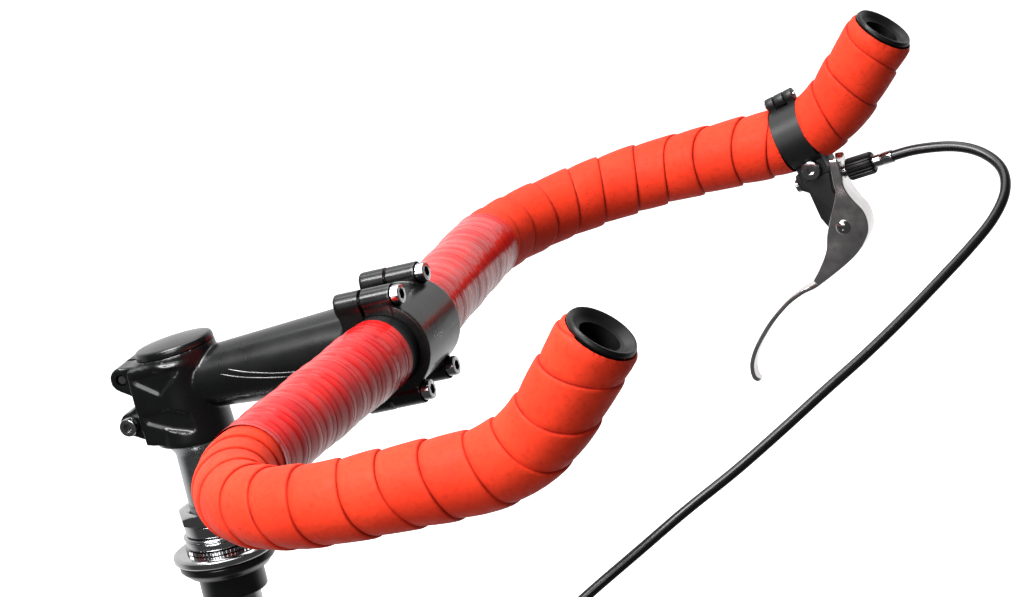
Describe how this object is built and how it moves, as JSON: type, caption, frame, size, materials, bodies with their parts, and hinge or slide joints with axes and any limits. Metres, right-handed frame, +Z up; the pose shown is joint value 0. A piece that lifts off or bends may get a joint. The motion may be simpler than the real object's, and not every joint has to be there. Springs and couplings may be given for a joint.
{
  "type": "bullhorn bicycle handlebar",
  "caption": "Bullhorn bicycle handlebar with cork tape, forged stem on a quill adapter, upper headset, and an inline brake lever with its housing",
  "frame": {"origin": "On the steering axis, in the plane where the pressed headset cup rests on the head tube", "axes": "+Z up along the steering axis, -Y towards the front of the bicycle, +X towards the rider's left"},
  "size_m": [0.4804, 0.365, 0.2775],
  "materials": {
    "black_alloy": "gloss black anodised or painted alloy",
    "black_plastic": "moulded black plastic",
    "black_steel": "gloss black steel",
    "cork_tape": "perforated cork-foam tape, matt orange-red",
    "finishing_tape": "glossy red adhesive tape",
    "housing": "gloss black plastic-coated cable housing",
    "polished_alloy": "polished alloy",
    "steel": "bright plated steel"
  },
  "bodies": {
    "headset": {"headset_cup": "black_steel"},
    "ball_ring": {"ball_cage": "steel"},
    "cockpit": {"adjusting_race": "steel", "toothed_washer": "steel", "lower_spacer": "steel", "cable_hanger_washer": "steel", "upper_spacer": "steel", "locknut": "steel", "quill_adapter": "steel", "expander_wedge": "steel", "expander_bolt": "steel", "stem_body": "black_alloy", "upper_steerer_bolt": "steel", "lower_steerer_bolt": "steel", "stem_lid": "black_alloy", "faceplate": "black_alloy", "faceplate_bolt_lower_right": "steel", "faceplate_bolt_upper_right": "steel", "faceplate_bolt_lower_left": "steel", "faceplate_bolt_upper_left": "steel", "handlebar_tube": "black_alloy", "grip_tape_right": "cork_tape", "finishing_tape_right": "finishing_tape", "end_plug_right": "black_plastic", "grip_tape_left": "cork_tape", "grip_tape_left_horn": "cork_tape", "finishing_tape_left": "finishing_tape", "end_plug_left": "black_plastic", "lever_clamp_band": "black_alloy", "lever_bracket": "black_alloy", "clamp_hinge_pin": "steel", "lever_clamp_bolt": "steel", "lever_pivot_pin": "steel", "cable_head": "steel", "inner_wire": "steel", "brake_housing": "housing", "housing_end_cap": "steel", "brake_wire": "steel"},
    "lever": {"brake_lever": "polished_alloy"},
    "ferrule": {"housing_ferrule": "steel"},
    "adjuster": {"barrel_adjuster": "black_plastic"}
  },
  "joints": [
    {"name": "steering", "type": "hinge", "parent": "headset", "child": "cockpit", "pos_m": [0, 0, 0.0092], "axis": [0, 0, 1], "range_deg": [-75, 75]},
    {"name": "ball_ring_turn", "type": "hinge", "parent": "headset", "child": "ball_ring", "pos_m": [0, 0, 0.0074], "axis": [0, 0, 1], "range_deg": [-38, 38]},
    {"name": "brake_lever_squeeze", "type": "hinge", "parent": "cockpit", "child": "lever", "pos_m": [0.2215, -0.2495, 0.064], "axis": [1, 0, 0], "range_deg": [0, 22], "stiffness_Nm_per_rad": 1.2, "springref_deg": -14.32, "deforming": ["brake_housing", "inner_wire"]},
    {"name": "adjuster_travel", "type": "slide", "parent": "lever", "child": "ferrule", "axis": [0, -0.9848, 0.1736], "range_m": [0, 0.003]},
    {"name": "adjuster_turn", "type": "hinge", "parent": "ferrule", "child": "adjuster", "pos_m": [0.2215, -0.2486, 0.0886], "axis": [0, -0.9848, 0.1736], "range_deg": [0, 1080]}
  ],
  "couplings": [
    {"joint": "ball_ring_turn", "follows": "steering", "ratio": 0.5},
    {"joint": "adjuster_turn", "follows": "adjuster_travel", "rad_per_m": 6283}
  ]
}
